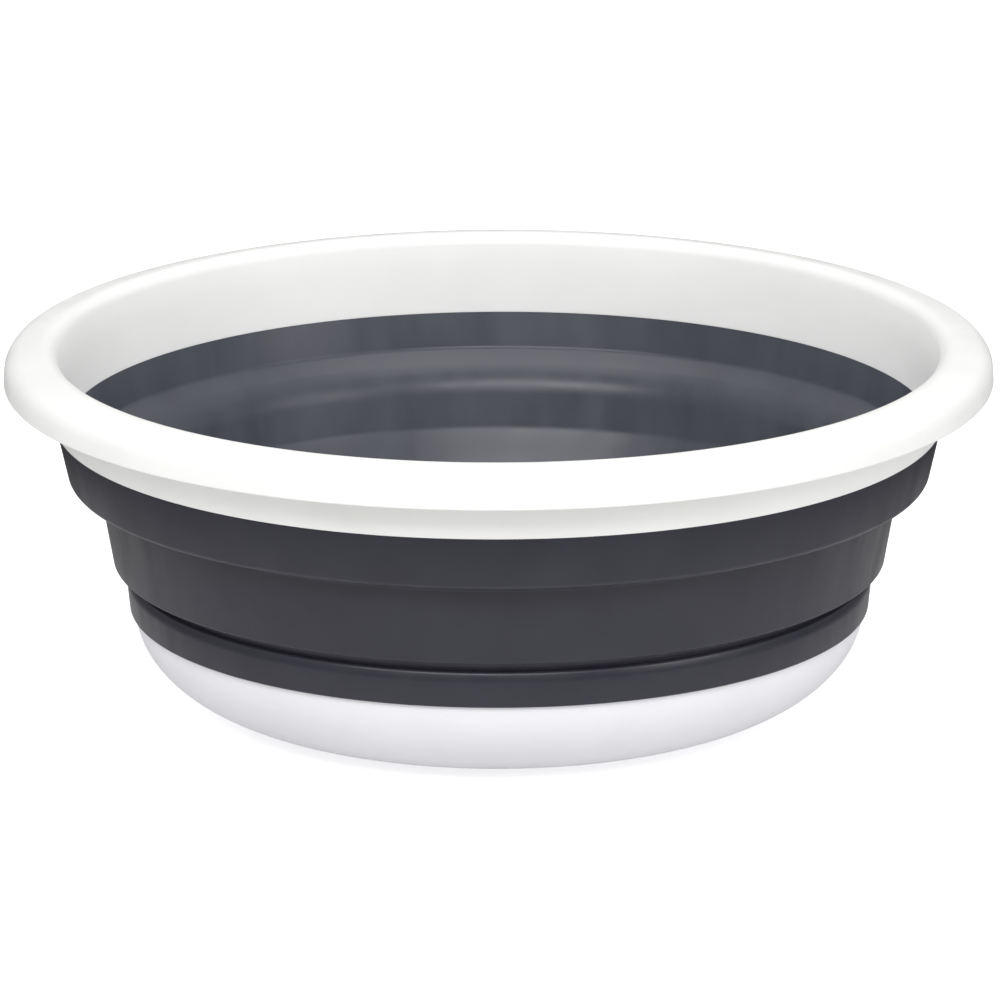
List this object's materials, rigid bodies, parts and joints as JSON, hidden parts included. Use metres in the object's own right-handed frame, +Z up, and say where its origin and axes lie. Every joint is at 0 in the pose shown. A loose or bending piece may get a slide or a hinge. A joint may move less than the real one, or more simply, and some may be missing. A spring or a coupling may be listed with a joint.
{
  "type": "foot spa basin",
  "caption": "Round collapsible foot basin: a rolled plastic rim and a rounded plastic base joined by a soft stepped wall whose tiers slide down over one another.",
  "frame": {"origin": "centre of the basin on the surface that it stands on, with the wall fully raised", "axes": "+Z up along the basin's centre line; the basin is round, so +X and +Y are free"},
  "size_m": [0.3818, 0.3818, 0.1421],
  "materials": {
    "rim_plastic": "satin, warm white",
    "soft_wall": "satin dark grey elastomer",
    "base_plastic": "satin, cool white"
  },
  "bodies": {
    "base": {"base": "base_plastic", "lower_band": "soft_wall", "lower_fold": "soft_wall"},
    "middle": {"middle_band": "soft_wall", "upper_fold": "soft_wall"},
    "rim": {"upper_band": "soft_wall", "rim": "rim_plastic"}
  },
  "joints": [
    {"name": "lower_collapse", "type": "slide", "parent": "base", "child": "middle", "axis": [0, 0, -1], "range_m": [0, 0.041], "deforming": ["lower_fold"]},
    {"name": "upper_collapse", "type": "slide", "parent": "middle", "child": "rim", "axis": [0, 0, -1], "range_m": [0, 0.041], "deforming": ["upper_fold"]}
  ]
}
